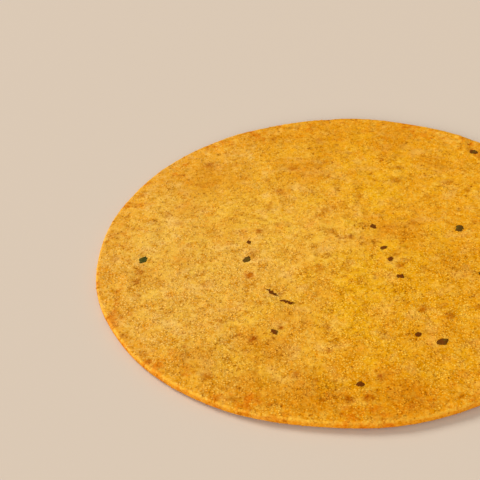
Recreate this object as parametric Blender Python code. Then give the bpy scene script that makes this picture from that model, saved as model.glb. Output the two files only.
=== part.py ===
"""Khakhra: a thin, crisp, roasted flatbread with flakes of dried leaf baked into it.

It lies flat. The origin is under its middle, on the surface that it rests on, with +Z up.
"""

import math
import random

import bmesh
import bpy
import numpy as np

MM = 0.001

# The bread's main sizes
DIAMETER = 150 * MM
THICKNESS = 2.4 * MM
RIM_ROUNDING = 0.8 * MM  # how far in from the rim its wall starts to curve
RIM_SQUARENESS = 3.0  # 2 gives a half-round wall, more gives a squarer one

# How finely it is drawn
RINGS = 24  # rings of points from the middle to the rim, ring k with 6k points
WALL_ROWS = 6  # bands of faces down the rim's wall

# The hand-rolled outline: waves round the rim, as (how many, depth, degrees to a crest)
RIM_WAVES = (
    (3, 0.15 * MM, -40),
    (4, 0.15 * MM, 120),
    (5, 0.10 * MM, 5),
    (7, 0.15 * MM, -125),
    (9, 0.08 * MM, 25),
    (13, 0.10 * MM, 30),
)

# The warp from roasting: the two edges along Y stand a little off the surface below
RIM_LIFT = 0.35 * MM
LIFT_POWER = 3

# Broad swells over the upper face, each wave turned by the golden angle from the last
SWELL_COUNT = 8
SWELL_HEIGHT = 0.045 * MM
SWELL_SHORTEST = 13 * MM
SWELL_LONGEST = 34 * MM
GOLDEN_ANGLE = math.radians(137.5)
SWELL_PHASE = 1.9

# Low blisters, as (how many, least distance apart, radii, heights)
UPPER_BLISTERS = (105, 8.6 * MM, (3.0 * MM, 4.3 * MM), (0.12 * MM, 0.34 * MM))
UNDER_BLISTERS = (48, 12 * MM, (4.5 * MM, 6.0 * MM), (0.25 * MM, 0.42 * MM))
BLISTER_REACH = 70 * MM
UPPER_SEED = 11
UNDER_SEED = 23

# The underside rests on its blisters, pressed flat, and on a flat spot in the middle
UNDER_GAP = 0.18 * MM
REST_SPOT_RADIUS = 17 * MM
REST_SPOT_DEPTH = 0.45 * MM

# Flakes of dried leaf that show from a step away: (x, y, length, width, degrees turned)
FLAKES = (
    (-60.4 * MM, -6.1 * MM, 3.2 * MM, 2.3 * MM, 70),
    (-28.4 * MM, 2.3 * MM, 1.8 * MM, 1.3 * MM, 100),
    (-28.7 * MM, -6.2 * MM, 2.8 * MM, 2.1 * MM, 60),
    (-20.2 * MM, -22.4 * MM, 4.0 * MM, 1.1 * MM, -47),
    (-15.8 * MM, -26.5 * MM, 4.2 * MM, 1.1 * MM, -20),
    (10.0 * MM, 9.9 * MM, 2.3 * MM, 1.5 * MM, 110),
    (12.7 * MM, -1.0 * MM, 2.2 * MM, 1.8 * MM, 30),
    (14.5 * MM, -7.0 * MM, 2.1 * MM, 1.6 * MM, 80),
    (17.0 * MM, -15.5 * MM, 2.4 * MM, 1.8 * MM, 150),
    (36.1 * MM, 8.2 * MM, 3.3 * MM, 2.3 * MM, 75),
    (20.7 * MM, -40.7 * MM, 2.0 * MM, 1.6 * MM, 40),
    (27.0 * MM, -44.1 * MM, 3.2 * MM, 2.5 * MM, 20),
    (4.5 * MM, -60.4 * MM, 2.2 * MM, 1.8 * MM, 0),
    (-19.0 * MM, -39.4 * MM, 2.3 * MM, 1.7 * MM, 120),
)

# More of them, spread by a seeded rule past x = 40 mm: (how many, least distance apart, least x)
MORE_FLAKES = (12, 11 * MM, 40 * MM)
FLAKE_REACH = 69 * MM
FLAKE_LENGTHS = (2.0 * MM, 3.4 * MM)
FLAKE_WIDTH_SHARES = (0.55, 0.8)
FLAKE_SEED = 37
FLAKE_SIDES = 7
FLAKE_EDGE = 0.10 * MM  # how far its edge stands proud of the bread
FLAKE_CROWN = 0.24 * MM  # and how far its middle does
FLAKE_ROOT = 0.6 * MM  # how deep it is baked in
FLAKE_RAGGEDNESS = 0.16

SHARP_DEGREES = 40  # edges sharper than this aren't shaded smooth

# Finishes: (red, green, blue) of the reflected light, roughness, metallic value
CRUST = ("roasted crust", (0.81, 0.41, 0.05), 0.62, 0.0)
LEAF = ("dried leaf", (0.10, 0.09, 0.03), 0.75, 0.0)


def clear_scene():
    for obj in list(bpy.data.objects):
        bpy.data.objects.remove(obj, do_unlink=True)


def material(name, colour, roughness, metallic):
    made = bpy.data.materials.new(name)
    made.use_nodes = True
    shader = made.node_tree.nodes["Principled BSDF"]
    shader.inputs["Base Color"].default_value = (*colour, 1)
    shader.inputs["Roughness"].default_value = roughness
    shader.inputs["Metallic"].default_value = metallic
    made.diffuse_color = (*colour, 1)
    return made


def spread(rng, count, apart, reach, least_x):
    """Points within reach of the middle, no two nearer than apart, in the order that they are drawn."""
    points = []
    for _ in range(count * 400):
        x = rng.uniform(-reach, reach)
        y = rng.uniform(-reach, reach)
        clear = all(math.hypot(x - px, y - py) >= apart for px, py in points)
        if clear and x >= least_x and math.hypot(x, y) <= reach:
            points.append((x, y))
        if len(points) == count:
            break
    return points


def blisters(seed, count, apart, radii, heights):
    """Low domes as (x, y, radius, height), clear of one another."""
    rng = random.Random(seed)
    places = spread(rng, count, apart, BLISTER_REACH, -DIAMETER)
    return [(x, y, rng.uniform(*radii), rng.uniform(*heights)) for x, y in places]


def domes(x, y, listed):
    """How far the listed domes raise the point."""
    total = np.zeros_like(x)
    for middle_x, middle_y, radius, height in listed:
        away = np.hypot(x - middle_x, y - middle_y) / radius
        total += np.where(away < 1, height * (0.5 + 0.5 * np.cos(math.pi * away)), 0)
    return total


def swells(x, y):
    total = np.zeros_like(x)
    for i in range(SWELL_COUNT):
        turn = i * GOLDEN_ANGLE
        share = i / (SWELL_COUNT - 1)
        length = SWELL_SHORTEST + (SWELL_LONGEST - SWELL_SHORTEST) * share
        along = x * math.cos(turn) + y * math.sin(turn)
        total += SWELL_HEIGHT * np.sin(math.tau * along / length + i * SWELL_PHASE)
    return total


def lift(x, y):
    """The warp: none along X, most at the two edges along Y."""
    away = np.maximum(np.hypot(x, y), MM)
    return RIM_LIFT * (2 * away / DIAMETER) ** LIFT_POWER * (y / away) ** 2


def upper_height(x, y):
    return THICKNESS + lift(x, y) + swells(x, y) + domes(x, y, UPPER)


def under_height(x, y):
    spot = domes(x, y, [(0, 0, REST_SPOT_RADIUS, REST_SPOT_DEPTH)])
    return np.maximum(0, UNDER_GAP + lift(x, y) - spot - domes(x, y, UNDER))


def rim_radius(angle):
    total = np.full_like(angle, DIAMETER / 2)
    for count, depth, crest in RIM_WAVES:
        total += depth * np.cos(count * angle - math.radians(crest))
    return total


def ring_points():
    """x and y of the points of both faces: the middle, then each ring, evenly round it."""
    x = [0.0]
    y = [0.0]
    for ring in range(1, RINGS + 1):
        angles = np.arange(6 * ring) * math.tau / (6 * ring)
        radii = (rim_radius(angles) - RIM_ROUNDING) * ring / RINGS
        x.extend(radii * np.cos(angles))
        y.extend(radii * np.sin(angles))
    return np.array(x), np.array(y)


def first_of_ring(ring):
    return 0 if ring == 0 else 1 + 3 * ring * (ring - 1)


def ring_faces():
    """The triangles between the rings, in six equal sectors."""
    faces = []
    for ring in range(1, RINGS + 1):
        inner = first_of_ring(ring - 1)
        outer = first_of_ring(ring)
        inner_count = max(1, 6 * (ring - 1))
        outer_count = 6 * ring
        for sector in range(6):
            for step in range(ring):
                a = outer + (sector * ring + step) % outer_count
                b = outer + (sector * ring + step + 1) % outer_count
                c = inner + (sector * (ring - 1) + step) % inner_count
                faces.append((a, b, c))
                if step < ring - 1:
                    d = inner + (sector * (ring - 1) + step + 1) % inner_count
                    faces.append((c, b, d))
    return faces


def wall_row(row, upper, under):
    """x, y and z of the points of one row down the rim, between the two faces' edges."""
    count = 6 * RINGS
    angles = np.arange(count) * math.tau / count
    tilt = math.pi * (0.5 - row / WALL_ROWS)
    out = math.cos(tilt) ** (2 / RIM_SQUARENESS)
    up = math.copysign(abs(math.sin(tilt)) ** (2 / RIM_SQUARENESS), tilt)
    radii = rim_radius(angles) - RIM_ROUNDING * (1 - out)
    z = (upper + under) / 2 + (upper - under) / 2 * up
    return np.column_stack([radii * np.cos(angles), radii * np.sin(angles), z])


def bread_mesh():
    x, y = ring_points()
    upper = upper_height(x, y)
    under = under_height(x, y)
    count = 6 * RINGS
    rows = [
        wall_row(row, upper[-count:], under[-count:]) for row in range(1, WALL_ROWS)
    ]
    faces = ring_faces()
    face_points = len(x)
    under_first = face_points + count * len(rows)
    all_faces = list(faces)
    all_faces += [tuple(under_first + i for i in reversed(face)) for face in faces]
    starts = [face_points - count]
    starts += [face_points + count * i for i in range(len(rows))]
    starts.append(under_first + face_points - count)
    for above, below in zip(starts, starts[1:]):
        for i in range(count):
            j = (i + 1) % count
            all_faces.append((above + i, below + i, below + j))
            all_faces.append((above + i, below + j, above + j))
    points = np.concatenate(
        [np.column_stack([x, y, upper]), *rows, np.column_stack([x, y, under])]
    )
    mesh = bpy.data.meshes.new("khakhra")
    mesh.from_pydata(points.tolist(), [], all_faces)
    return mesh


def upper_height_at(x, y):
    return float(upper_height(np.array([x]), np.array([y]))[0])


def flake_mesh(flake, rng):
    """One flake: a ragged outline round a low crown, with its root inside the bread."""
    x, y, length, width, degrees = flake
    turn = math.radians(degrees)
    made = bmesh.new()
    rings = ([], [])
    for side in range(FLAKE_SIDES):
        angle = math.tau * side / FLAKE_SIDES
        ragged = 1 + rng.uniform(-FLAKE_RAGGEDNESS, FLAKE_RAGGEDNESS)
        along = length / 2 * math.cos(angle) * ragged
        across = width / 2 * math.sin(angle) * ragged
        px = x + along * math.cos(turn) - across * math.sin(turn)
        py = y + along * math.sin(turn) + across * math.cos(turn)
        z = upper_height_at(px, py)
        rings[0].append(made.verts.new((px, py, z - FLAKE_ROOT)))
        rings[1].append(made.verts.new((px, py, z + FLAKE_EDGE)))
    crown = made.verts.new((x, y, upper_height_at(x, y) + FLAKE_CROWN))
    made.faces.new(rings[0])
    for side in range(FLAKE_SIDES):
        after = (side + 1) % FLAKE_SIDES
        made.faces.new((rings[0][side], rings[0][after], rings[1][after], rings[1][side]))
        made.faces.new((rings[1][side], rings[1][after], crown))
    bmesh.ops.triangulate(made, faces=made.faces[:])
    bmesh.ops.recalc_face_normals(made, faces=made.faces[:])
    mesh = bpy.data.meshes.new("leaf flake")
    made.to_mesh(mesh)
    made.free()
    return mesh


def drawn_flakes(rng, count, apart, least_x, taken):
    """Flakes at seeded places, clear of the ones that are taken."""
    drawn = []
    for x, y in spread(rng, count * 2, apart, FLAKE_REACH, least_x):
        length = rng.uniform(*FLAKE_LENGTHS)
        width = length * rng.uniform(*FLAKE_WIDTH_SHARES)
        clear = all(math.hypot(x - f[0], y - f[1]) > apart for f in taken)
        if clear and len(drawn) < count:
            drawn.append((x, y, length, width, rng.uniform(0, 180)))
    return drawn


def fuse(bread, meshes, finish):
    """Joins the flakes to the bread with one union."""
    group = bpy.data.collections.new("leaf flakes")
    bpy.context.scene.collection.children.link(group)
    for mesh in meshes:
        mesh.materials.append(finish)
        group.objects.link(bpy.data.objects.new("leaf flake", mesh))
    union = bread.modifiers.new("leaf flakes", "BOOLEAN")
    union.operation = "UNION"
    union.operand_type = "COLLECTION"
    union.collection = group
    union.solver = "EXACT"
    union.material_mode = "TRANSFER"
    graph = bpy.context.evaluated_depsgraph_get()
    joined = bpy.data.meshes.new_from_object(bread.evaluated_get(graph), depsgraph=graph)
    bread.modifiers.clear()
    bread.data = joined
    for obj in list(group.objects):
        bpy.data.objects.remove(obj, do_unlink=True)
    bpy.data.collections.remove(group)


def build():
    clear_scene()
    mesh = bread_mesh()
    mesh.materials.append(material(*CRUST))
    bread = bpy.data.objects.new("khakhra", mesh)
    bpy.context.scene.collection.objects.link(bread)
    rng = random.Random(FLAKE_SEED)
    flakes = list(FLAKES) + drawn_flakes(rng, *MORE_FLAKES, FLAKES)
    fuse(bread, [flake_mesh(flake, rng) for flake in flakes], material(*LEAF))
    bread.data.name = "khakhra"
    bread.data.shade_smooth()
    bread.data.set_sharp_from_angle(angle=math.radians(SHARP_DEGREES))


UPPER = blisters(UPPER_SEED, *UPPER_BLISTERS)
UNDER = blisters(UNDER_SEED, *UNDER_BLISTERS)
build()
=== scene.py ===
import math
import random

import bmesh
import bpy
from mathutils import Matrix, Vector


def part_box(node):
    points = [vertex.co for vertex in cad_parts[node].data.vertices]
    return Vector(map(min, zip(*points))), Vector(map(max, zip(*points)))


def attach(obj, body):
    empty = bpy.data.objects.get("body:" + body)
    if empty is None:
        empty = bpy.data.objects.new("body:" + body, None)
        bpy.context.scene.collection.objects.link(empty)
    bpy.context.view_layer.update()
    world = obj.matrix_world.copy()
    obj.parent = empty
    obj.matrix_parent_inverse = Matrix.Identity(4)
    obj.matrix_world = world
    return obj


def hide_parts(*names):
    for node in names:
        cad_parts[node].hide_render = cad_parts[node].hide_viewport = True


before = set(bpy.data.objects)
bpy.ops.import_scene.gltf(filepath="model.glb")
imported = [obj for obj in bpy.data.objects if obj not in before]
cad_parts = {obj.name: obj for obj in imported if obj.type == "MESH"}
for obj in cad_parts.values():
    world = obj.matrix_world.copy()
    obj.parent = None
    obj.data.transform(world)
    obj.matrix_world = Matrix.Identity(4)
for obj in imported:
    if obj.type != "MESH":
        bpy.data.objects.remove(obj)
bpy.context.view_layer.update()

mm = 0.001
breadLow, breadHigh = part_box("khakhra")
print("frame loaded:", sorted(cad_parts))


# one socket of a node tree: sums and products of wires and numbers add Math nodes
class Wire:
    def __init__(self, desk, socket):
        self.desk = desk
        self.socket = socket

    def __add__(self, other):
        return self.desk.maths("ADD", self, other)

    def __radd__(self, other):
        return self.desk.maths("ADD", other, self)

    def __sub__(self, other):
        return self.desk.maths("SUBTRACT", self, other)

    def __rsub__(self, other):
        return self.desk.maths("SUBTRACT", other, self)

    def __mul__(self, other):
        return self.desk.maths("MULTIPLY", self, other)

    def __rmul__(self, other):
        return self.desk.maths("MULTIPLY", other, self)

    def __truediv__(self, other):
        return self.desk.maths("DIVIDE", self, other)

    def __rtruediv__(self, other):
        return self.desk.maths("DIVIDE", other, self)

    def __pow__(self, other):
        return self.desk.maths("POWER", self, other)


# a node tree that is being wired
class Desk:
    def __init__(self, tree):
        self.tree = tree
        self.start = tree.nodes.new("NodeGroupInput") if tree.type == "GEOMETRY" else None

    # any node: its settings are set first, then its sockets are given values or links
    def add(self, kind, settings=None, sockets=(), out=0):
        made = self.tree.nodes.new(kind)
        for name, value in (settings or {}).items():
            setattr(made, name, value)
        usable = [s for s in made.inputs if s.enabled]
        pairs = sockets.items() if isinstance(sockets, dict) else enumerate(sockets)
        for key, value in pairs:
            socket = usable[key] if isinstance(key, int) else next(s for s in usable if s.name == key)
            self.plug(socket, value)
        shown = [s for s in made.outputs if s.enabled]
        return Wire(self, shown[out] if isinstance(out, int) else next(s for s in shown if s.name == out))

    def plug(self, socket, value):
        if isinstance(value, Wire):
            self.tree.links.new(value.socket, socket)
        elif isinstance(value, list):
            for wire in reversed(value):
                self.tree.links.new(wire.socket, socket)
        elif socket.type == "RGBA" and len(value) == 3:
            socket.default_value = (*value, 1)
        else:
            socket.default_value = value

    def given(self, name):
        return Wire(self, self.start.outputs[name])

    def also(self, wire, name):  # another output of the node that a wire comes from
        return Wire(self, wire.socket.node.outputs[name])

    def maths(self, operation, *parts):
        return self.add("ShaderNodeMath", {"operation": operation}, parts)

    def vector(self, operation, *parts):
        return self.add("ShaderNodeVectorMath", {"operation": operation}, parts)

    def scaled(self, vector, factor):
        sockets = {"Vector": vector, "Scale": factor}
        return self.add("ShaderNodeVectorMath", {"operation": "SCALE"}, sockets)

    def xyz(self, x, y, z):
        return self.add("ShaderNodeCombineXYZ", None, (x, y, z))

    def parts(self, vector):
        split = self.add("ShaderNodeSeparateXYZ", None, (vector,))
        return [Wire(self, s) for s in split.socket.node.outputs]

    def least(self, *parts):
        return self.maths("MINIMUM", *parts)

    def most(self, *parts):
        return self.maths("MAXIMUM", *parts)

    def length(self, vector):
        return self.vector("LENGTH", vector)

    # 0 below low, 1 above high, smooth between
    def ramp(self, value, low, high):
        sockets = {"Value": value, "From Min": low, "From Max": high, "To Min": 0, "To Max": 1}
        return self.add("ShaderNodeMapRange", {"interpolation_type": "SMOOTHSTEP"}, sockets)

    def blend(self, factor, first, second, how="MIX"):
        settings = {"data_type": "RGBA", "blend_type": how}
        return self.add("ShaderNodeMix", settings, {"Factor": factor, "A": first, "B": second})

    # noise about 0, mostly within 0.25 of it, with features about this size in the vector's own unit
    def noise(self, place, size, detail=2.0, roughness=0.5):
        sockets = {"Vector": place, "Scale": 1 / size, "Detail": detail, "Roughness": roughness}
        return self.add("ShaderNodeTexNoise", {"noise_dimensions": "3D"}, sockets) - 0.5

    # distance to the nearest of scattered middles, in cells, and a random number for each cell
    def cells(self, place, size):
        away = self.add("ShaderNodeTexVoronoi", {"feature": "F1"}, {"Vector": place, "Scale": 1 / size})
        return away, self.parts(self.also(away, "Color"))[0]

    def named(self, name, kind="FLOAT"):
        return self.add("GeometryNodeInputNamedAttribute", {"data_type": kind}, {"Name": name})

    def store(self, geometry, name, value, kind="FLOAT"):
        settings = {"data_type": kind, "domain": "POINT"}
        sockets = {"Geometry": geometry, "Name": name, "Value": value}
        return self.add("GeometryNodeStoreNamedAttribute", settings, sockets)

    def attribute(self, name):
        return self.add("ShaderNodeAttribute", {"attribute_name": name}, (), "Fac")

    def moveTo(self, geometry, place):
        return self.add("GeometryNodeSetPosition", None, {"Geometry": geometry, "Position": place})

    def here(self):
        return self.add("GeometryNodeInputPosition")

    def geometryOf(self, thing):
        return self.add("GeometryNodeObjectInfo", None, {"Object": thing}, "Geometry")

    # a square grid drawn into a disc of radius 1, with evenly spaced points round its rim
    def disc(self, divisions):
        count = divisions + 1
        sockets = {"Size X": 2.0, "Size Y": 2.0, "Vertices X": count, "Vertices Y": count}
        grid = self.add("GeometryNodeMeshGrid", None, sockets)
        a, b, _ = self.parts(self.here())
        wide = self.maths("GREATER_THAN", self.maths("ABSOLUTE", a), self.maths("ABSOLUTE", b))
        away = wide * a + (1 - wide) * b
        eighth = math.tau / 8
        turn = wide * (eighth * (b / a)) + (1 - wide) * (2 * eighth - eighth * (a / b))
        x = away * self.maths("COSINE", turn)
        y = away * self.maths("SINE", turn)
        return self.moveTo(grid, self.xyz(x, y, 0))

    # keeps a shape within the solid's own box, then closes the tree
    def finish(self, geometry, material, rounded=True):
        above = self.vector("MAXIMUM", self.here(), tuple(breadLow))
        kept = self.moveTo(geometry, self.vector("MINIMUM", above, tuple(breadHigh)))
        shaded = self.add("GeometryNodeSetShadeSmooth", None, {"Geometry": kept, "Shade Smooth": rounded})
        real = self.add("GeometryNodeRealizeInstances", None, {"Geometry": shaded})
        dressed = self.add("GeometryNodeSetMaterial", None, {"Geometry": real, "Material": material})
        end = self.tree.nodes.new("NodeGroupOutput")
        self.tree.links.new(dressed.socket, end.inputs["Geometry"])
        return self.tree


socketKinds = {
    float: "NodeSocketFloat",
    int: "NodeSocketInt",
    bpy.types.Object: "NodeSocketObject",
    bpy.types.Material: "NodeSocketMaterial",
}


def newTree(name, inputs):
    tree = bpy.data.node_groups.new(name, "GeometryNodeTree")
    for label, value in inputs.items():
        kind = next(k for t, k in socketKinds.items() if isinstance(value, t))
        tree.interface.new_socket(label, in_out="INPUT", socket_type=kind)
    tree.interface.new_socket("Geometry", in_out="OUTPUT", socket_type="NodeSocketGeometry")
    return tree


# runs a tree with these inputs, and keeps what it makes as a plain mesh
def grow(name, tree, inputs):
    blank = bpy.data.objects.new(name + "Blank", bpy.data.meshes.new(name + "Blank"))
    bpy.context.scene.collection.objects.link(blank)
    modifier = blank.modifiers.new(name, "NODES")
    modifier.node_group = tree
    for socket in tree.interface.items_tree:
        if socket.in_out == "INPUT":
            modifier[socket.identifier] = inputs[socket.name]
    graph = bpy.context.evaluated_depsgraph_get()
    mesh = bpy.data.meshes.new_from_object(blank.evaluated_get(graph), depsgraph=graph)
    bpy.data.objects.remove(blank, do_unlink=True)
    mesh.name = name
    piece = bpy.data.objects.new(name, mesh)
    bpy.context.scene.collection.objects.link(piece)
    print(name, len(mesh.vertices), "points", len(mesh.polygons), "faces")
    return piece


def recalculateNormals(piece):
    made = bmesh.new()
    made.from_mesh(piece.data)
    bmesh.ops.recalc_face_normals(made, faces=made.faces[:])
    openEdges = sum(not edge.is_manifold for edge in made.edges)
    made.to_mesh(piece.data)
    made.free()
    print(piece.name, "open edges:", openEdges)


# loose points that carry numbers, for a tree to read
def helperPoints(name, places, numbers):
    mesh = bpy.data.meshes.new(name)
    mesh.from_pydata(places, [], [])
    for label, values in numbers.items():
        mesh.attributes.new(label, "FLOAT", "POINT").data.foreach_set("value", values)
    points = bpy.data.objects.new(name, mesh)
    bpy.context.scene.collection.objects.link(points)
    return points


def newMaterial(name):
    material = bpy.data.materials.new(name)
    material.use_nodes = True
    return material, Desk(material.node_tree), material.node_tree.nodes["Principled BSDF"]


# the place on a piece in mm, for a material to read
def inMillimetres(desk):
    return desk.scaled(desk.add("ShaderNodeTexCoord", None, (), "Object"), 1 / mm)


triesPerPoint = 400


# points spread evenly by a seeded rule, in the order that they are drawn
def spread(rng, count, apart, reach, leastX):
    points = []
    for _ in range(count * triesPerPoint):
        x = rng.uniform(-reach, reach)
        y = rng.uniform(-reach, reach)
        clear = all(math.hypot(x - px, y - py) >= apart for px, py in points)
        if clear and x >= leastX and math.hypot(x, y) <= reach:
            points.append((x, y))
        if len(points) == count:
            break
    return points


# The crust: the form of the solid that it stands for, with finer relief
crust = {
    "diameter": 150 * mm,
    "thickness": 2.4 * mm,
    "rimRounding": 0.8 * mm,
    "rimSquareness": 3.0,
    "rimWaves": (  # round the rim: how many, how deep, degrees to a crest
        (3, 0.15 * mm, -40),
        (4, 0.15 * mm, 120),
        (5, 0.10 * mm, 5),
        (7, 0.15 * mm, -125),
        (9, 0.08 * mm, 25),
        (13, 0.10 * mm, 30),
    ),
    "rimLift": 0.35 * mm,
    "liftPower": 3.0,
    "swellCount": 8,
    "swellHeight": 0.045 * mm,
    "swellShortest": 13 * mm,
    "swellLongest": 34 * mm,
    "goldenAngle": math.radians(137.5),
    "swellPhase": 1.9,
    # blisters: how many, how far apart, least and most radius, least and most height
    "upperBlisters": (105, 8.6 * mm, (3.0 * mm, 4.3 * mm), (0.12 * mm, 0.34 * mm)),
    "underBlisters": (48, 12 * mm, (4.5 * mm, 6.0 * mm), (0.25 * mm, 0.42 * mm)),
    "blisterReach": 70 * mm,
    "upperSeed": 11,
    "underSeed": 23,
    "underGap": 0.18 * mm,
    "restSpotRadius": 17 * mm,
    "restSpotDepth": 0.45 * mm,
    "faceDivisions": 264,  # squares across the upper face, twice those across the underside
    "wallRows": 7,
    "mergeWithin": 0.01 * mm,
    # relief that is too fine for the solid
    "lumpSize": 4.2 * mm,
    "lumpHeight": 0.28 * mm,
    "crumbSize": 1.6 * mm,
    "crumbHeight": 0.39 * mm,
    "pitCell": 3.4 * mm,
    "pitDepth": 0.20 * mm,
    "pitWidth": (0.05, 0.34),  # in cells, from the floor of a pit to its edge
    "pitChance": (0.5, 0.9),
    "underReliefShare": 0.5,
    "underPattern": 90 * mm,  # the underside reads the same noise this far away
    "edgeNibble": 0.26 * mm,
    "edgeNibbleSize": 2.0 * mm,
    # what the finish reads
    "hollowUnit": 0.1 * mm,
    "toastRaggedness": 2.4,
    "toastRagSize": 1.3 * mm,
    "toastEdge": (0.2, 1.25),  # in radii of a mark, from fully browned to plain
    "sandySize": 4.4 * mm,
    "sandyPattern": 20 * mm,
    "sandyLevel": (-0.17, 0.09),
    "sandyRim": (66 * mm, 74 * mm),
    "sandyRimLoss": 0.4,
    "sandyFarSide": (-14 * mm, 18 * mm),
    "sandyFarLoss": 0.5,
    "sandyFarDrift": 80 * mm,
    "sandyWallLoss": 0.85,
    "sandyWallTop": (0.0, 0.3),
    "sandyWallFoot": (0.7, 1.0),
}

# browned spots in the upper face: x, y, radius in mm, and how brown
toastMarks = (
    (-60.4, -12.3, 1.7, 0.8),
    (-61.2, -16.8, 1.5, 0.9),
    (-44.0, 45.9, 2.6, 0.6),
    (-16.3, 43.2, 2.4, 0.6),
    (35.2, 33.4, 2.2, 0.5),
    (-36.0, -57.4, 2.3, 0.6),
    (-35.5, 45.6, 1.6, 0.5),
    (-46.9, 34.1, 1.5, 0.4),
    (-41.4, -12.4, 1.5, 0.6),
    (-27.5, -13.9, 1.5, 1.3),
    (-25.6, 7.7, 1.4, 1.1),
    (-16.7, 42.8, 1.2, 0.8),
    (-4.9, 18.6, 1.6, 0.5),
    (-2.6, 20.6, 1.8, 0.5),
    (0.0, 21.8, 1.6, 0.4),
    (-41.1, -18.5, 1.2, 0.5),
    (-7.5, 15.9, 1.6, 0.6),
    (22.6, -29.5, 1.9, 0.8),
    (28.2, -28.3, 1.6, 0.7),
    (29.8, -33.1, 1.8, 0.8),
    (10.0, -57.6, 1.3, 0.9),
    (6.7, -65.3, 1.9, 0.9),
    (1.4, -65.8, 1.9, 0.8),
    (-7.0, -58.8, 1.0, 0.6),
    (-12.5, -56.3, 1.6, 0.6),
    (-3.7, -47.7, 1.0, 0.7),
    (-17.1, -37.5, 1.0, 1.2),
    (-24.7, -42.2, 1.5, 1.1),
    (-28.6, -40.4, 0.8, 1.2),
    (-34.8, -34.4, 1.1, 0.7),
    (-43.5, -45.4, 1.0, 0.8),
    (-60.9, -41.0, 1.6, 0.55),
    (-54.8, -48.6, 1.5, 0.55),
    (-52.6, -51.7, 1.4, 0.6),
    (-68.3, -33.5, 1.5, 0.6),
    (-63.3, -32.5, 1.4, 0.55),
)
moreToast = {  # by a seeded rule, with lengths in mm
    "count": 120,
    "apart": 6.5,
    "reach": 73.5,
    "radii": (0.7, 2.2),
    "strengths": (0.15, 0.6),
    "seed": 5,
}


def spotPoints(name, places, radii, strengths):
    return helperPoints(name, places, {"spotRadius": radii, "spotStrength": strengths})


def blisterSpots(name, seed, count, apart, radii, heights):
    rng = random.Random(seed)
    places = spread(rng, count, apart, crust["blisterReach"], -crust["diameter"])
    sizes = [(rng.uniform(*radii), rng.uniform(*heights)) for _ in places]
    flat = [(x, y, 0) for x, y in places]
    return spotPoints(name, flat, [size[0] for size in sizes], [size[1] for size in sizes])


def toastSpots():
    rng = random.Random(moreToast["seed"])
    apart = moreToast["apart"]
    reach = moreToast["reach"]
    marks = list(toastMarks)
    for x, y in spread(rng, moreToast["count"], apart, reach, -reach):
        radius = rng.uniform(*moreToast["radii"])
        strength = rng.uniform(*moreToast["strengths"])
        if all(math.hypot(x - mark[0], y - mark[1]) > apart for mark in toastMarks):
            marks.append((x, y, radius, strength))
    places = [(x * mm, y * mm, 0) for x, y, _, _ in marks]
    return spotPoints("toastSpots", places, [mark[2] * mm for mark in marks], [mark[3] for mark in marks])


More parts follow.
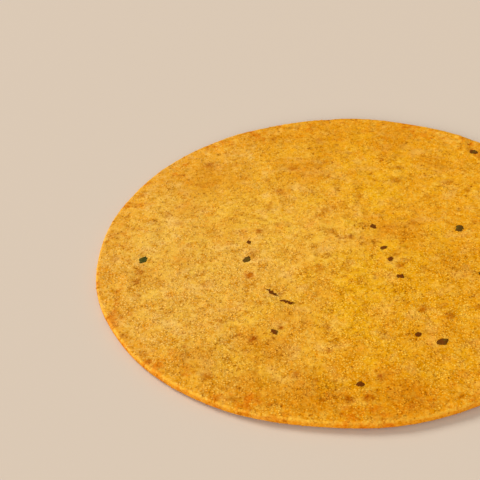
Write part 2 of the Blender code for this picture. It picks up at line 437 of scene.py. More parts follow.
def breadTree(inputs):
    desk = Desk(newTree("breadDisc", inputs))
    given = desk.given

    def rimRadius(angle):
        total = given("Diameter") / 2
        for count, depth, crest in crust["rimWaves"]:
            total = total + depth * desk.maths("COSINE", angle * count - math.radians(crest))
        return total

    def lift(x, y):
        away = desk.most(desk.length(desk.xyz(x, y, 0)), mm)
        rise = (2 * away / given("Diameter")) ** crust["liftPower"]
        return given("Rim lift") * rise * (y / away) ** 2

    def swells(x, y):
        total = None
        for i in range(crust["swellCount"]):
            turn = i * crust["goldenAngle"]
            share = i / (crust["swellCount"] - 1)
            length = crust["swellShortest"] + (crust["swellLongest"] - crust["swellShortest"]) * share
            along = x * (math.cos(turn) * math.tau / length) + y * (math.sin(turn) * math.tau / length)
            wave = desk.maths("SINE", along + i * crust["swellPhase"])
            total = wave if total is None else total + wave
        return total * given("Swell height")

    # how far the point is from the nearest spot, in that spot's radii, and the spot's strength
    def nearestSpot(x, y, spots):
        place = desk.xyz(x, y, 0)
        points = desk.geometryOf(spots)
        sockets = {"Geometry": points, "Sample Position": place}
        nearest = desk.add("GeometryNodeSampleNearest", {"domain": "POINT"}, sockets)

        def ofNearest(kind, value):
            sockets = {"Geometry": points, "Value": value, "Index": nearest}
            return desk.add("GeometryNodeSampleIndex", {"data_type": kind, "domain": "POINT"}, sockets)

        middle = ofNearest("FLOAT_VECTOR", desk.here())
        radius = ofNearest("FLOAT", desk.named("spotRadius"))
        strength = ofNearest("FLOAT", desk.named("spotStrength"))
        return desk.vector("DISTANCE", place, middle) / radius, strength

    # 1 in the middle, 0 from a distance of 1, and round between
    def dome(away):
        return 0.5 + 0.5 * desk.maths("COSINE", math.pi * desk.least(away, 1.0))

    def blisters(x, y, spots):
        away, height = nearestSpot(x, y, spots)
        return height * dome(away)

    def fineRelief(x, y, shift):
        place = desk.xyz(x, y, shift)
        lumps = given("Lump height") * desk.noise(place, crust["lumpSize"])
        crumbs = given("Crumb height") * desk.noise(place, crust["crumbSize"], 1.0)
        away, chance = desk.cells(place, crust["pitCell"])
        pits = (1 - desk.ramp(away, *crust["pitWidth"])) * desk.ramp(chance, *crust["pitChance"])
        return lumps + crumbs - given("Pit depth") * pits

    def upperHeight(x, y):
        form = given("Thickness") + lift(x, y) + swells(x, y) + blisters(x, y, given("Upper blisters"))
        return form + fineRelief(x, y, 0.0)

    def underHeight(x, y):
        away = desk.length(desk.xyz(x, y, 0)) / given("Rest spot radius")
        spot = crust["restSpotDepth"] * dome(away)
        form = given("Under gap") + lift(x, y) - spot - blisters(x, y, given("Under blisters"))
        relief = crust["underReliefShare"] * fineRelief(x, y, crust["underPattern"])
        return desk.most(form + relief, 0.0)

    # what the finish reads beside how far down the wall it is: pits, browning and sandy places
    def marked(geometry, shift):
        x, y, _ = desk.parts(desk.here())
        place = desk.xyz(x, y, shift)
        hollow = fineRelief(x, y, shift) * (-1 / crust["hollowUnit"])
        geometry = desk.store(geometry, "hollow", hollow)

        away, strength = nearestSpot(x, y, given("Toast marks"))
        ragged = away + crust["toastRaggedness"] * desk.noise(place, crust["toastRagSize"], 2.0, 0.6)
        toast = strength * (1 - desk.ramp(ragged, *crust["toastEdge"]))
        geometry = desk.store(geometry, "toast", toast)

        moved = desk.vector("ADD", place, (0, 0, crust["sandyPattern"]))
        islands = desk.noise(moved, crust["sandySize"], 4.0, 0.7)
        rim = desk.ramp(desk.length(desk.xyz(x, y, 0)), *crust["sandyRim"])
        farSide = desk.ramp(y + crust["sandyFarDrift"] * islands, *crust["sandyFarSide"])
        down = desk.named("down")
        wall = desk.ramp(down, *crust["sandyWallTop"]) * (1 - desk.ramp(down, *crust["sandyWallFoot"]))
        sandy = desk.ramp(islands, *crust["sandyLevel"]) * (1 - crust["sandyRimLoss"] * rim)
        sandy = sandy * (1 - crust["sandyFarLoss"] * farSide) * (1 - crust["sandyWallLoss"] * wall)
        return desk.store(geometry, "sandy", sandy)

    def face(divisions, height, shift, down):
        x, y, _ = desk.parts(desk.here())
        reach = rimRadius(desk.maths("ARCTAN2", y, x)) - given("Rim rounding")
        flat = desk.moveTo(desk.disc(divisions), desk.xyz(x * reach, y * reach, 0))
        shaped = desk.moveTo(flat, desk.xyz(x, y, height(x, y)))
        return marked(desk.store(shaped, "down", down), shift)

    # the wall between the two faces; its last row has half as many points
    def wall(divisions, rows):
        columns = divisions * 4
        sockets = {"Size X": 1.0, "Size Y": 1.0, "Vertices X": columns + 1, "Vertices Y": rows + 1}
        grid = desk.add("GeometryNodeMeshGrid", None, sockets)
        across, along, _ = desk.parts(desk.here())
        column = desk.maths("ROUND", (across + 0.5) * columns)
        down = 0.5 - along
        last = desk.maths("GREATER_THAN", down, 1 - 0.5 / rows)
        even = 2 * desk.maths("FLOOR", column / 2 + 0.25)
        turn = (last * even + (1 - last) * column) * (math.tau / columns) - math.tau / 8
        tilt = math.pi * (0.5 - down)
        power = 2 / crust["rimSquareness"]
        out = desk.most(desk.maths("COSINE", tilt), 0.0) ** power
        up = desk.maths("SIGN", tilt) * desk.maths("ABSOLUTE", desk.maths("SINE", tilt)) ** power
        cosine = desk.maths("COSINE", turn)
        sine = desk.maths("SINE", turn)
        edge = rimRadius(turn) - given("Rim rounding")
        x = cosine * edge
        y = sine * edge
        high = upperHeight(x, y)
        low = underHeight(x, y)
        z = (high + low) / 2 + (high - low) / 2 * up
        nibble = given("Edge nibble") * desk.noise(desk.xyz(x, y, z), crust["edgeNibbleSize"], 3.0, 0.65)
        radius = edge + (given("Rim rounding") + nibble) * out
        kept = desk.store(grid, "down", down)
        return marked(desk.moveTo(kept, desk.xyz(cosine * radius, sine * radius, z)), 0.0)

    divisions = crust["faceDivisions"]
    upper = face(divisions, upperHeight, 0.0, 0.0)
    under = face(divisions // 2, underHeight, crust["underPattern"], 1.0)
    turned = desk.add("GeometryNodeFlipFaces", None, {"Mesh": under})
    pieces = [upper, wall(divisions, crust["wallRows"]), turned]
    joined = desk.add("GeometryNodeJoinGeometry", None, {"Geometry": pieces})
    sockets = {"Geometry": joined, "Distance": crust["mergeWithin"]}
    merged = desk.add("GeometryNodeMergeByDistance", None, sockets)
    return desk.finish(merged, given("Material"))


# How the crust looks
crustLook = {
    "colours": {  # amounts of red, green and blue light
        "golden": (0.84, 0.43, 0.0),
        "orange": (0.79, 0.315, 0.0),
        "skin": (0.88, 0.50, 0.060),
        "pale": (0.88, 0.54, 0.085),
        "cream": (0.94, 0.60, 0.18),
        "ember": (0.80, 0.27, 0.0),
        "ground": (0.58, 0.215, 0.0),
        "rimOrange": (0.78, 0.28, 0.0),
        "gritLight": (0.96, 0.60, 0.085),
        # a painted highlight along the rounded top edge of the rim
        "lipHighlight": (0.87, 0.46, 0.045),
        # a darker, more orange wall: partly painted shade, partly a browner edge
        "wall": (0.74, 0.26, 0.008),
    },
    "darkening": {  # what it leaves of the red, green and blue
        # painted shade in the crust's creases, cracks and pits, and among crowded crumbs
        "creaseShade": (0.44, 0.26, 0.0),
        "tan": (0.84, 0.66, 0.25),
        "scorch": (0.85, 0.50, 0.10),
        "toast": (0.56, 0.29, 0.02),
    },
    "sizes": {  # of each pattern's features, in mm
        "broad": 38.0,
        "patches": 9.0,
        "cream": 5.5,
        "scorch": 4.6,
        "embers": 4.4,
        "clouds": 3.2,
        "skin": 3.2,
        "clusters": 3.0,
        "mottle": 1.6,
        "cracks": 0.95,
        "clusterCrumbs": 0.9,
        "grit": 0.72,
        "fine": 0.5,
    },
    "levels": {  # where each pattern starts to show, and where it is strongest
        "golden": (-0.20, 0.18),
        "litPaleSide": (-24, 20),
        "orangeSide": (4, 40),
        "farSide": (5, 50),
        "rim": (60, 76),
        "darkClouds": (0.0, 0.23),
        "lightClouds": (-0.23, 0.0),
        "cream": (0.02, 0.17),
        "embers": (0.02, 0.2),
        "darkMottle": (0.0, 0.3),
        "lightMottle": (-0.3, 0.0),
        "tan": (0.1, 1.4),
        "scorch": (0.08, 0.25),
        "clusters": (0.10, 0.34),
        "skin": (-0.12, 0.25),
        "wallTop": (0.18, 0.5),
        "wallFoot": (0.85, 1.0),
        "lipTop": (0.0, 0.12),
        "lipFoot": (0.25, 0.45),
        "grit": (0.1, 0.62),
        "fine": (0.0, 0.3),
        "cracks": (0.04, 0.24),
        "hollow": (0.1, 1.3),
    },
    "shares": {  # how much of each pattern's colour shows where it is strongest
        "pale": 0.75,
        "paleGrit": 0.8,
        "orange": 0.6,
        "rimOrange": 0.7,
        "darkClouds": 0.9,
        "lightClouds": 0.7,
        "cream": 0.3,
        "creamPaleSide": 0.25,
        "creamRim": -0.2,
        "embers": 0.6,
        "embersRim": 0.2,
        "darkMottle": 0.75,
        "lightMottle": 0.6,
        "lightMottleRim": -0.3,
        "scorch": 0.25,
        "scorchRim": 0.5,
        "toast": 0.9,
        "toastMottle": 1.6,
        "clusters": 0.6,
        "skin": 0.5,
        "sandyGround": 0.35,
        "wall": 0.6,
        "lipHighlight": 0.55,
        "grit": 0.4,
        "gritSandy": 0.6,
        "fine": 0.6,
        "cracks": 0.3,
        "cracksSandy": 0.8,
        "hollow": 0.3,
    },
    "push": {  # how far one pattern moves the edges of another
        "xSideways": 0.75,
        "awaySideways": 0.35,
        "broadSideways": 40.0,
        "patchesRim": 14.0,
        "patchesGolden": 1.6,
        "patchesTan": 1.6,
        "cloudsTan": 0.9,
        "rimScorch": 0.09,
        "crumbsClusters": 0.9,
    },
    "creamShift": (0, 0, 40),  # in mm, so that two patterns of one kind differ
    "emberShift": (0, 0, 80),
    "wobbleScale": 1.1,
    "wobble": 0.5,  # in mm
    "leastGrit": 0.35,
    "relief": {"grit": 0.6, "plainGrit": 0.3, "fine": -0.5, "mottle": -0.8, "cracks": -0.6},
    "bump": {"Strength": 0.7, "Distance": 0.2 * mm},
    "roughness": 0.55,
    "fineRoughness": 0.3,
    "sandyRoughness": 0.1,
    "shine": 0.006,
}

# broad darker patches: x, y, radius in mm, and how dark
tanPatches = (
    (-43.0, 36.0, 12.0, 0.75),
    (-49.0, 20.0, 6.0, 0.45),
    (-38.0, 9.0, 9.0, 0.35),
    (-13.0, 42.0, 10.0, 0.55),
    (-5.0, 61.0, 12.0, 0.50),
    (-22.0, 60.0, 9.0, 0.35),
    (19.0, 59.0, 11.0, 0.55),
    (32.0, 44.0, 8.0, 0.55),
    (-58.0, -15.0, 6.0, 0.45),
    (-49.0, -6.0, 6.0, 0.35),
    (16.0, 7.0, 11.0, 0.50),
    (33.0, -8.0, 12.0, 0.35),
    (-13.0, -33.0, 6.0, 0.35),
    (23.0, -45.0, 9.0, 0.35),
    (-40.0, -51.0, 6.0, 0.60),
    (-22.0, -47.0, 9.0, 0.60),
    (-22.0, -61.0, 8.0, 0.65),
    (-7.0, -63.0, 10.0, 0.65),
    (14.0, -64.0, 10.0, 0.85),
    (52.0, -22.0, 11.0, 0.45),
    (55.0, 25.0, 9.0, 0.40),
    (44.0, -46.0, 8.0, 0.40),
)


# how strongly one of the crust's patterns shows, from 0 to 1
def shows(desk, name, value):
    return desk.ramp(value, *crustLook["levels"][name])


# lays one of the crust's colours over what is there
def tinted(desk, colour, name, amount):
    return desk.blend(amount, colour, crustLook["colours"][name])


# darkens whatever colour is there, and keeps its fine texture
def darkened(desk, colour, amounts):
    for name, amount in amounts.items():
        colour = desk.blend(amount, colour, crustLook["darkening"][name], "MULTIPLY")
    return colour


# the crust's colour before it is darkened, the colour of its grit, its mottling, and what darkens it:
# browning, and painted shade in its creases
def crustTone(desk, place):
    colours = crustLook["colours"]
    sizes = crustLook["sizes"]
    share = crustLook["shares"]
    push = crustLook["push"]
    x, y, _ = desk.parts(place)
    away = desk.length(desk.xyz(x, y, 0))
    broad = desk.noise(place, sizes["broad"])
    patches = desk.noise(place, sizes["patches"], 3.0, 0.6)
    clouds = desk.noise(place, sizes["clouds"])
    mottle = desk.noise(place, sizes["mottle"], 3.0, 0.7)

    # paler on the left and more orange on the right: partly the dough's own tone, partly painted light
    # and shade from the lamp on the left; more orange too at the far side and round the rim
    sideways = x * push["xSideways"] + away * push["awaySideways"] + broad * push["broadSideways"]
    litPaleSide = 1 - shows(desk, "litPaleSide", sideways)
    orangeSide = desk.most(shows(desk, "orangeSide", sideways), shows(desk, "farSide", y))
    rim = shows(desk, "rim", away + patches * push["patchesRim"])
    golden = shows(desk, "golden", broad + patches * push["patchesGolden"])
    colour = desk.blend(golden, colours["orange"], colours["golden"])
    colour = tinted(desk, colour, "pale", litPaleSide * share["pale"])
    colour = tinted(desk, colour, "orange", orangeSide * share["orange"])
    colour = tinted(desk, colour, "rimOrange", rim * share["rimOrange"])
    # the grit is more cream on the left, partly painted light from the lamp on that side
    gritTone = desk.blend(litPaleSide * share["paleGrit"], colours["gritLight"], colours["cream"])

    colour = tinted(desk, colour, "ground", shows(desk, "darkClouds", clouds) * share["darkClouds"])
    lightClouds = (1 - shows(desk, "lightClouds", clouds)) * share["lightClouds"]
    colour = tinted(desk, colour, "skin", lightClouds)
    creamPlace = desk.vector("ADD", place, crustLook["creamShift"])
    cream = shows(desk, "cream", desk.noise(creamPlace, sizes["cream"], 4.0, 0.6))
    # more cream on the left, partly painted light from the lamp on that side
    creamShare = share["cream"] + share["creamPaleSide"] * litPaleSide + share["creamRim"] * rim
    colour = tinted(desk, colour, "cream", cream * creamShare)
    emberPlace = desk.vector("ADD", place, crustLook["emberShift"])
    embers = shows(desk, "embers", desk.noise(emberPlace, sizes["embers"], 4.0, 0.65))
    colour = tinted(desk, colour, "ember", embers * (share["embers"] + share["embersRim"] * rim))
    colour = tinted(desk, colour, "ground", shows(desk, "darkMottle", mottle) * share["darkMottle"])
    lightShare = share["lightMottle"] + share["lightMottleRim"] * rim
    colour = desk.blend((1 - shows(desk, "lightMottle", mottle)) * lightShare, colour, gritTone)

    tanned = 0.0
    for middleX, middleY, radius, strength in tanPatches:
        middle = (middleX, middleY, crust["thickness"] / mm)
        apart = desk.vector("DISTANCE", place, middle) / radius
        ragged = apart + patches * push["patchesTan"] + clouds * push["cloudsTan"]
        tanned = desk.most(tanned, strength * (1 - shows(desk, "tan", ragged)))
    scorching = desk.noise(place, sizes["scorch"], 3.0, 0.6) + rim * push["rimScorch"]
    crumbs = desk.noise(place, sizes["clusterCrumbs"], 2.0, 0.7)
    clusters = desk.noise(place, sizes["clusters"], 2.0, 0.6) + crumbs * push["crumbsClusters"]
    amounts = {
        "tan": tanned,
        "scorch": shows(desk, "scorch", scorching) * (share["scorch"] + share["scorchRim"] * rim),
        "toast": desk.attribute("toast") * (share["toast"] + share["toastMottle"] * mottle),
        # painted shade where crumbs crowd together
        "creaseShade": shows(desk, "clusters", clusters) * share["clusters"],
    }
    return colour, gritTone, mottle, amounts


def crustFinish():
    material, desk, shader = newMaterial("roastedCrust")
    sizes = crustLook["sizes"]
    share = crustLook["shares"]
    rises = crustLook["relief"]
    place = inMillimetres(desk)
    hollow = desk.attribute("hollow")
    sandy = desk.attribute("sandy")
    down = desk.attribute("down")
    colour, gritTone, mottle, amounts = crustTone(desk, place)

    skin = shows(desk, "skin", desk.noise(place, sizes["skin"], 3.0, 0.6))
    onWall = shows(desk, "wallTop", down) * (1 - shows(desk, "wallFoot", down))
    lipHighlightMask = shows(desk, "lipTop", down) * (1 - shows(desk, "lipFoot", down))
    colour = tinted(desk, colour, "skin", (1 - sandy) * skin * share["skin"])
    colour = tinted(desk, colour, "ground", sandy * share["sandyGround"])
    # the wall darker and more orange: partly painted shade, partly a browner edge
    colour = tinted(desk, colour, "wall", onWall * share["wall"])
    # a painted highlight along the rounded top edge of the rim
    colour = tinted(desk, colour, "lipHighlight", lipHighlightMask * share["lipHighlight"])

    sockets = {"Vector": place, "Scale": crustLook["wobbleScale"], "Detail": 2.0}
    wobble = desk.add("ShaderNodeTexNoise", None, sockets, "Color")
    bent = desk.vector("ADD", place, desk.scaled(wobble, crustLook["wobble"]))
    gritAway, gritChance = desk.cells(bent, sizes["grit"])
    least = crustLook["leastGrit"]
    grit = (1 - shows(desk, "grit", gritAway)) * (least + (1 - least) * gritChance)
    colour = desk.blend(grit * (share["grit"] + share["gritSandy"] * sandy), colour, gritTone)

    fine = desk.noise(place, sizes["fine"], 3.0, 0.7)
    cracks = shows(desk, "cracks", desk.noise(bent, sizes["cracks"], 3.0, 0.7))
    # painted shade in fine creases, in cracks and in the hollows of the relief, deeper where it is sandy
    paintedCreaseShade = shows(desk, "fine", fine) * share["fine"]
    paintedCreaseShade = paintedCreaseShade + cracks * (share["cracks"] + share["cracksSandy"] * sandy)
    paintedCreaseShade = paintedCreaseShade + shows(desk, "hollow", hollow) * share["hollow"]
    amounts["creaseShade"] = desk.least(amounts["creaseShade"] + paintedCreaseShade, 1.0)

    relief = grit * rises["grit"] * (rises["plainGrit"] + sandy)
    relief = relief + fine * rises["fine"] + mottle * rises["mottle"] + cracks * rises["cracks"]
    bump = desk.add("ShaderNodeBump", None, {**crustLook["bump"], "Height": relief}, "Normal")
    roughness = crustLook["roughness"] + fine * crustLook["fineRoughness"]
    desk.plug(shader.inputs["Base Color"], darkened(desk, colour, amounts))
    desk.plug(shader.inputs["Roughness"], roughness + sandy * crustLook["sandyRoughness"])
    desk.plug(shader.inputs["Normal"], bump)
    shader.inputs["Specular IOR Level"].default_value = crustLook["shine"]
    return material


def makeBread():
    upper = blisterSpots("upperBlisterSpots", crust["upperSeed"], *crust["upperBlisters"])
    under = blisterSpots("underBlisterSpots", crust["underSeed"], *crust["underBlisters"])
    marks = toastSpots()
    inputs = {
        "Diameter": crust["diameter"],
        "Thickness": crust["thickness"],
        "Rim rounding": crust["rimRounding"],
        "Rim lift": crust["rimLift"],
        "Swell height": crust["swellHeight"],
        "Under gap": crust["underGap"],
        "Rest spot radius": crust["restSpotRadius"],
        "Lump height": crust["lumpHeight"],
        "Crumb height": crust["crumbHeight"],
        "Pit depth": crust["pitDepth"],
        "Edge nibble": crust["edgeNibble"],
        "Upper blisters": upper,
        "Under blisters": under,
        "Toast marks": marks,
        "Material": crustFinish(),
    }
    bread = grow("khakhraCrust", breadTree(inputs), inputs)
    for spots in (upper, under, marks):
        bpy.data.objects.remove(spots, do_unlink=True)
    recalculateNormals(bread)
    return bread


# Coarse grains of flour that stand out of the crust's sandy places
grains = {
    "apart": 0.56 * mm,
    "perSquareMetre": 1.9e6,
    "underShare": 0.3,
    "underFacing": -0.3,  # how far a face may point down and still be an upper one
    "floorGap": 0.25 * mm,
    "radii": (0.24 * mm, 0.62 * mm),
    "heights": (0.09 * mm, 0.20 * mm),
    "clumpSize": 2.2 * mm,
    "clumpLevel": (-0.15, 0.08),
    "leastClump": 0.3,
    "lean": 0.25,
    "sides": 5,
    "seed": 3,
    "topLevel": (0.0, 0.9),  # from a grain's middle to its top
    "litTones": (0.1, 1.0),  # a grain's tone is drawn between 0 and 1
    # a painted highlight on grain tops and painted shade round their feet
    "litShare": 0.9,
    "footShadeShare": 0.6,
    "dullTones": (0.0, 0.35),
    "dullShare": 0.5,
    "roughness": 0.5,
    "toneRoughness": 0.15,
}


def grainTree(inputs):
    desk = Desk(newTree("flourGrains", inputs))
    given = desk.given
    _, _, up = desk.parts(desk.add("GeometryNodeInputNormal"))
    _, _, height = desk.parts(desk.here())
    above = desk.maths("GREATER_THAN", up, grains["underFacing"])
    clear = desk.maths("GREATER_THAN", height, grains["floorGap"])
    side = above + (1 - above) * clear * grains["underShare"]
    clumping = desk.ramp(desk.noise(desk.here(), grains["clumpSize"], 2.0, 0.6), *grains["clumpLevel"])
    clumps = grains["leastClump"] + (1 - grains["leastClump"]) * clumping
    sockets = {
        "Mesh": desk.geometryOf(given("Bread")),
        "Distance Min": given("Apart"),
        "Density Max": given("Per square metre"),
        "Density Factor": desk.named("sandy") * side * clumps,
        "Seed": given("Seed"),
    }
    points = desk.add("GeometryNodeDistributePointsOnFaces", {"distribute_method": "POISSON"}, sockets)
    facing = desk.also(points, "Rotation")

    def drawn(low, high, salt):
        sockets = {"Min": low, "Max": high, "Seed": salt}
        return desk.add("FunctionNodeRandomValue", {"data_type": "FLOAT"}, sockets)

    marked = desk.store(points, "grainTone", drawn(0.0, 1.0, 1))
    sockets = {"Segments": grains["sides"], "Rings": 2, "Radius": 1.0}
    ball = desk.add("GeometryNodeMeshUVSphere", None, sockets)
    _, _, top = desk.parts(desk.here())
    grain = desk.store(ball, "grainTop", top)
    lean = grains["lean"]
    turned = desk.xyz(drawn(-lean, lean, 2), drawn(-lean, lean, 3), drawn(0.0, math.tau, 4))
    sockets = {"Rotation": facing, "Rotate By": desk.add("FunctionNodeEulerToRotation", None, (turned,))}
    turn = desk.add("FunctionNodeRotateRotation", {"rotation_space": "LOCAL"}, sockets)
    size = desk.xyz(
        drawn(given("Least radius"), given("Most radius"), 5),
        drawn(given("Least radius"), given("Most radius"), 6),
        drawn(given("Least height"), given("Most height"), 7),
    )
    sockets = {"Points": marked, "Instance": grain, "Rotation": turn, "Scale": size}
    placed = desk.add("GeometryNodeInstanceOnPoints", None, sockets)
    loose = desk.add("GeometryNodeRealizeInstances", None, {"Geometry": placed})
    return desk.finish(loose, given("Material"), False)


def grainFinish():
    material, desk, shader = newMaterial("flourGrain")
    colour, gritTone, _, amounts = crustTone(desk, inMillimetres(desk))
    tone = desk.attribute("grainTone")
    top = desk.ramp(desk.attribute("grainTop"), *grains["topLevel"])
    lit = desk.ramp(tone, *grains["litTones"])
    dull = 1 - desk.ramp(tone, *grains["dullTones"])
    # painted highlight on the tops of lit grains, and painted shade round the feet of all grains
    colour = desk.blend(top * lit * grains["litShare"], colour, gritTone)
    colour = tinted(desk, colour, "ground", (1 - top) * grains["footShadeShare"])
    colour = tinted(desk, colour, "ground", dull * grains["dullShare"])
    desk.plug(shader.inputs["Base Color"], darkened(desk, colour, amounts))
    desk.plug(shader.inputs["Roughness"], grains["roughness"] + grains["toneRoughness"] * tone)
    shader.inputs["Specular IOR Level"].default_value = crustLook["shine"]
    return material


def makeGrains(bread):
    inputs = {
        "Bread": bread,
        "Apart": grains["apart"],
        "Per square metre": grains["perSquareMetre"],
        "Least radius": grains["radii"][0],
        "Most radius": grains["radii"][1],
        "Least height": grains["heights"][0],
        "Most height": grains["heights"][1],
        "Seed": grains["seed"],
        "Material": grainFinish(),
    }
    return grow("flourGrains", grainTree(inputs), inputs)


# Flakes of dried leaf: x, y, length, width in mm, degrees turned, and how green
leafFlakes = (
    (-60.4, -6.1, 3.2, 2.3, 70, 1.0),
    (-28.4, 2.3, 1.8, 1.3, 100, 0.2),
    (-28.7, -6.2, 2.8, 2.1, 60, 0.5),
    (-20.2, -22.4, 4.0, 1.1, -47, 0.1),
    (-15.8, -26.5, 4.2, 1.1, -20, 0.1),
    (10.0, 9.9, 2.3, 1.5, 110, 0.1),
    (12.7, -1.0, 2.2, 1.8, 30, 0.2),
    (14.5, -7.0, 2.1, 1.6, 80, 0.0),
    (17.0, -15.5, 2.4, 1.8, 150, 0.0),
    (36.1, 8.2, 3.3, 2.3, 75, 0.55),
    (20.7, -40.7, 2.0, 1.6, 40, 0.0),
    (27.0, -44.1, 3.2, 2.5, 20, 0.3),
    (4.5, -60.4, 2.2, 1.8, 0, 0.1),
    (-19.0, -39.4, 2.3, 1.7, 120, 0.05),
)
flakeMaking = {
    "more": (12, 11 * mm, 40 * mm),  # how many, least distance apart, least x
    "reach": 69 * mm,
    "lengths": (2.0 * mm, 3.4 * mm),
    "widthShares": (0.55, 0.8),
    "seed": 37,
    "greenStep": 0.37,
    "seedStep": 1.7,
    "underCount": 16,
    "underWidthShare": 0.65,
    "underSeed": 8,
    "divisions": 12,
    "mergeWithin": 0.002 * mm,
    "thickness": 0.16 * mm,
    "stand": 0.11 * mm,
    "wave": 0.3 * mm,
    "waveSize": 1.6 * mm,
    "outline": 1.1,
    "raggedness": 1.3,
    "ragSize": 0.6,  # of a radius
    "corners": 0.35,  # 0 round, 1 a diamond
    "bend": 3.6 * mm,
    "bendSize": 1.3 * mm,
    "lumpiness": 3.6,
    "lumpSize": 0.8 * mm,
    "probe": 10 * mm,
    "clearance": (0.05 * mm, 0.4 * mm),
    "sunk": -2,  # of how far it stands elsewhere
}


# the same rule and the same draws as the solid's flakes
def flakeSpots():
    making = flakeMaking
    flakes = []
    for x, y, length, width, turn, green in leafFlakes:
        flakes.append((x * mm, y * mm, length * mm, width * mm, math.radians(turn), green, 1))
    rng = random.Random(making["seed"])
    count, apart, leastX = making["more"]
    drawn = []
    for x, y in spread(rng, count * 2, apart, making["reach"], leastX):
        length = rng.uniform(*making["lengths"])
        width = length * rng.uniform(*making["widthShares"])
        clear = all(math.hypot(x - flake[0], y - flake[1]) > apart for flake in flakes)
        if clear and len(drawn) < count:
            green = len(drawn) * making["greenStep"] % 1
            drawn.append((x, y, length, width, math.radians(rng.uniform(0, 180)), green, 1))
    rng = random.Random(making["underSeed"])
    for x, y in spread(rng, making["underCount"], apart, making["reach"], -making["reach"]):
        length = rng.uniform(*making["lengths"])
        width = length * making["underWidthShare"]
        drawn.append((x, y, length, width, rng.uniform(0, math.pi), rng.random(), -1))
    flakes += drawn
    labels = ("leafLength", "leafWidth", "leafTurn", "leafGreen", "leafSide")
    numbers = {label: [flake[i + 2] for flake in flakes] for i, label in enumerate(labels)}
    numbers["leafSeed"] = [i * making["seedStep"] for i in range(len(flakes))]
    return helperPoints("flakeSpots", [(flake[0], flake[1], 0) for flake in flakes], numbers)


def flakeTree(inputs):
    desk = Desk(newTree("leafFlakes", inputs))
    given = desk.given

    # one face of a flake, which keeps its place in the unit disc
    def leafFace(side):
        disc = desk.store(desk.disc(flakeMaking["divisions"]), "leafSpot", desk.here(), "FLOAT_VECTOR")
        return desk.store(disc, "leafFace", side)

    lower = desk.add("GeometryNodeFlipFaces", None, {"Mesh": leafFace(-1.0)})
    leaf = desk.add("GeometryNodeJoinGeometry", None, {"Geometry": [leafFace(1.0), lower]})
    points = desk.geometryOf(given("Spots"))
    points = desk.store(points, "leafMiddle", desk.here(), "FLOAT_VECTOR")
    placed = desk.add("GeometryNodeInstanceOnPoints", None, {"Points": points, "Instance": leaf})
    loose = desk.add("GeometryNodeRealizeInstances", None, {"Geometry": placed})

    # a ragged outline; the long thin flakes also bend and swell along their length
    u, v, _ = desk.parts(desk.named("leafSpot", "FLOAT_VECTOR"))
    seed = desk.named("leafSeed")
    angle = desk.maths("ARCTAN2", v, u)
    angleCosine = desk.maths("COSINE", angle)
    angleSine = desk.maths("SINE", angle)
    rag = desk.noise(desk.xyz(angleCosine, angleSine, seed), flakeMaking["ragSize"], 4.0, 0.75)
    corners = desk.maths("ABSOLUTE", angleCosine) + desk.maths("ABSOLUTE", angleSine)
    ragged = (flakeMaking["outline"] + given("Raggedness") * rag) / corners ** flakeMaking["corners"]
    along = u * desk.named("leafLength") / 2 * ragged
    across = v * desk.named("leafWidth") / 2 * ragged
    thin = 1 - desk.named("leafWidth") / desk.named("leafLength")
    lumps = desk.noise(desk.xyz(along, seed, 5), flakeMaking["lumpSize"], 1.0)
    bends = desk.noise(desk.xyz(along, seed, 0), flakeMaking["bendSize"], 2.0, 0.6)
    across = across * (1 + given("Lumpiness") * thin * lumps) + given("Bend") * thin * bends

    middleX, middleY, _ = desk.parts(desk.named("leafMiddle", "FLOAT_VECTOR"))
    cosine = desk.maths("COSINE", desk.named("leafTurn"))
    sine = desk.maths("SINE", desk.named("leafTurn"))
    x = middleX + along * cosine - across * sine
    y = middleY + along * sine + across * cosine
    side = desk.named("leafSide")
    sockets = {
        "Target Geometry": desk.geometryOf(given("Bread")),
        "Source Position": desk.xyz(x, y, side * flakeMaking["probe"]),
        "Ray Direction": desk.xyz(0, 0, 0 - side),
        "Ray Length": 2 * flakeMaking["probe"],
    }
    _, _, surface = desk.parts(desk.add("GeometryNodeRaycast", None, sockets, "Hit Position"))
    wave = given("Wave") * desk.noise(desk.xyz(x, y, seed), flakeMaking["waveSize"], 1.0)
    rho = desk.length(desk.xyz(u, v, 0))
    thick = given("Thickness") / 2 * desk.most(1 - rho * rho, 0.0) ** 0.5
    # a flake under the bread sinks into it where the bread rests on the floor
    sunk = flakeMaking["sunk"]
    clear = (1 - sunk) * desk.ramp(surface, *flakeMaking["clearance"]) + sunk
    z = surface + side * (given("Stand") + wave) * clear + desk.named("leafFace") * thick
    shaped = desk.moveTo(loose, desk.xyz(x, y, z))
    sockets = {"Geometry": shaped, "Distance": flakeMaking["mergeWithin"]}
    merged = desk.add("GeometryNodeMergeByDistance", None, sockets)
    return desk.finish(merged, given("Material"))


leafLook = {
    "green": (0.060, 0.062, 0.009),
    "olive": (0.14, 0.095, 0.006),
    "brown": (0.15, 0.034, 0.001),
    "vein": (0.30, 0.15, 0.008),
    "patchSize": 1.1,  # in mm
    "patchPush": 0.5,
    "greenLevel": (0.1, 0.95),
    "oliveLevel": (0.0, 0.25),
    "veinSize": 0.45,
    "veinLevel": (0.12, 0.25),
    "veinShare": 0.5,
    "bump": {"Strength": 0.6, "Distance": 0.1 * mm},
    "roughness": 0.6,
    "patchRoughness": 0.3,
    "shine": 0.03,
}


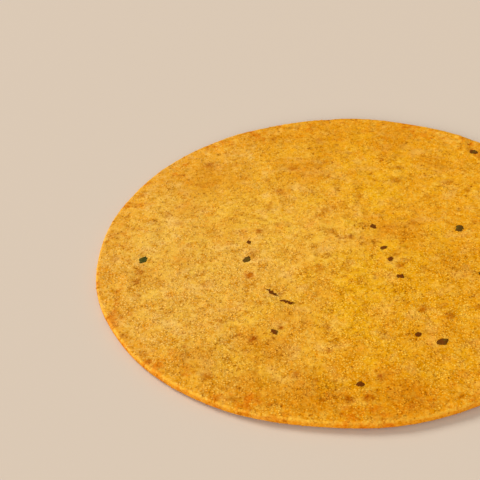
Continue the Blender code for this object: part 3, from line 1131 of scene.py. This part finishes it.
def leafFinish():
    material, desk, shader = newMaterial("driedLeaf")
    look = leafLook
    place = inMillimetres(desk)
    patches = desk.noise(place, look["patchSize"], 3.0, 0.6)
    greenness = desk.attribute("leafGreen") + patches * look["patchPush"]
    veins = desk.ramp(desk.noise(place, look["veinSize"], 2.0, 0.6), *look["veinLevel"])
    colour = desk.blend(desk.ramp(greenness, *look["greenLevel"]), look["brown"], look["green"])
    colour = desk.blend(desk.ramp(patches, *look["oliveLevel"]), colour, look["olive"])
    colour = desk.blend(veins * look["veinShare"], colour, look["vein"])
    bump = desk.add("ShaderNodeBump", None, {**look["bump"], "Height": patches}, "Normal")
    desk.plug(shader.inputs["Base Color"], colour)
    desk.plug(shader.inputs["Roughness"], look["roughness"] + patches * look["patchRoughness"])
    desk.plug(shader.inputs["Normal"], bump)
    shader.inputs["Specular IOR Level"].default_value = look["shine"]
    return material


def makeFlakes(bread):
    spots = flakeSpots()
    inputs = {
        "Bread": bread,
        "Spots": spots,
        "Thickness": flakeMaking["thickness"],
        "Stand": flakeMaking["stand"],
        "Wave": flakeMaking["wave"],
        "Raggedness": flakeMaking["raggedness"],
        "Bend": flakeMaking["bend"],
        "Lumpiness": flakeMaking["lumpiness"],
        "Material": leafFinish(),
    }
    flakes = grow("leafFlakes", flakeTree(inputs), inputs)
    bpy.data.objects.remove(spots, do_unlink=True)
    recalculateNormals(flakes)
    return flakes


bread = makeBread()
flourGrains = makeGrains(bread)
flakes = makeFlakes(bread)
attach(bread, "root")
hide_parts("khakhra")
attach(flourGrains, "root")
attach(flakes, "root")


# The floor, the light and the camera
studio = {
    "floorWidth": 40.0,
    "floorColour": (0.63, 0.525, 0.425),
    "floorRoughness": 0.8,
    "floorShine": 0.2,
    "worldColour": (1.0, 0.985, 0.96),
    "worldStrength": 0.38,
    "lamps": {  # where it shines from, how many degrees wide it looks, strength, colour
        "windowLight": ((-1.35, 0.85, 1.10), 24, 2.45, (1.0, 0.98, 0.94)),
        "frontFill": ((-0.35, -1.7, 0.85), 35, 2.1, (1.0, 0.98, 0.95)),
    },
}


def makeFloor():
    half = studio["floorWidth"] / 2
    corners = [(-half, -half, 0), (half, -half, 0), (half, half, 0), (-half, half, 0)]
    mesh = bpy.data.meshes.new("floor")
    mesh.from_pydata(corners, [], [(0, 1, 2, 3)])
    floor = bpy.data.objects.new("floor", mesh)
    bpy.context.scene.collection.objects.link(floor)
    material, _, shader = newMaterial("paleFloor")
    shader.inputs["Base Color"].default_value = (*studio["floorColour"], 1)
    shader.inputs["Roughness"].default_value = studio["floorRoughness"]
    shader.inputs["Specular IOR Level"].default_value = studio["floorShine"]
    mesh.materials.append(material)


def makeLight():
    world = bpy.data.worlds.new("softRoom")
    world.use_nodes = True
    background = world.node_tree.nodes["Background"]
    background.inputs["Color"].default_value = (*studio["worldColour"], 1)
    background.inputs["Strength"].default_value = studio["worldStrength"]
    bpy.context.scene.world = world
    for name, (place, width, strength, colour) in studio["lamps"].items():
        data = bpy.data.lights.new(name, "SUN")
        data.angle = math.radians(width)
        data.energy = strength
        data.color = colour
        lamp = bpy.data.objects.new(name, data)
        lamp.location = place
        lamp.rotation_euler = (-Vector(place)).to_track_quat("-Z", "Y").to_euler()
        bpy.context.scene.collection.objects.link(lamp)


# fitted to the bread's outline in the photo
viewpoint = {
    "distance": 347.1 * mm,
    "elevation": 37.42,
    "roll": -4.49,
    "target": (-31.66 * mm, 6.77 * mm, 0.0),
    "fieldOfView": 24.0,
    "sensor": 36.0,
    "clip": (1 * mm, 50.0),
}


def makeCamera():
    tilt = math.radians(viewpoint["elevation"])
    place = Vector((0, -math.cos(tilt), math.sin(tilt))) * viewpoint["distance"]
    ahead = (Vector(viewpoint["target"]) - place).normalized()
    right = ahead.cross(Vector((0, 0, 1))).normalized()
    above = right.cross(ahead)
    turn = math.radians(viewpoint["roll"])
    across = right * math.cos(turn) + above * math.sin(turn)
    upward = above * math.cos(turn) - right * math.sin(turn)
    data = bpy.data.cameras.new("camera")
    data.sensor_width = viewpoint["sensor"]
    data.lens = viewpoint["sensor"] / 2 / math.tan(math.radians(viewpoint["fieldOfView"]) / 2)
    data.clip_start, data.clip_end = viewpoint["clip"]
    camera = bpy.data.objects.new("camera", data)
    axes = Matrix((across, upward, -ahead)).transposed().to_4x4()
    camera.matrix_world = Matrix.Translation(place) @ axes
    bpy.context.scene.collection.objects.link(camera)
    bpy.context.scene.camera = camera


makeFloor()
makeLight()
makeCamera()
bpy.context.scene.view_settings.view_transform = "Standard"
print("floor, light and camera made")
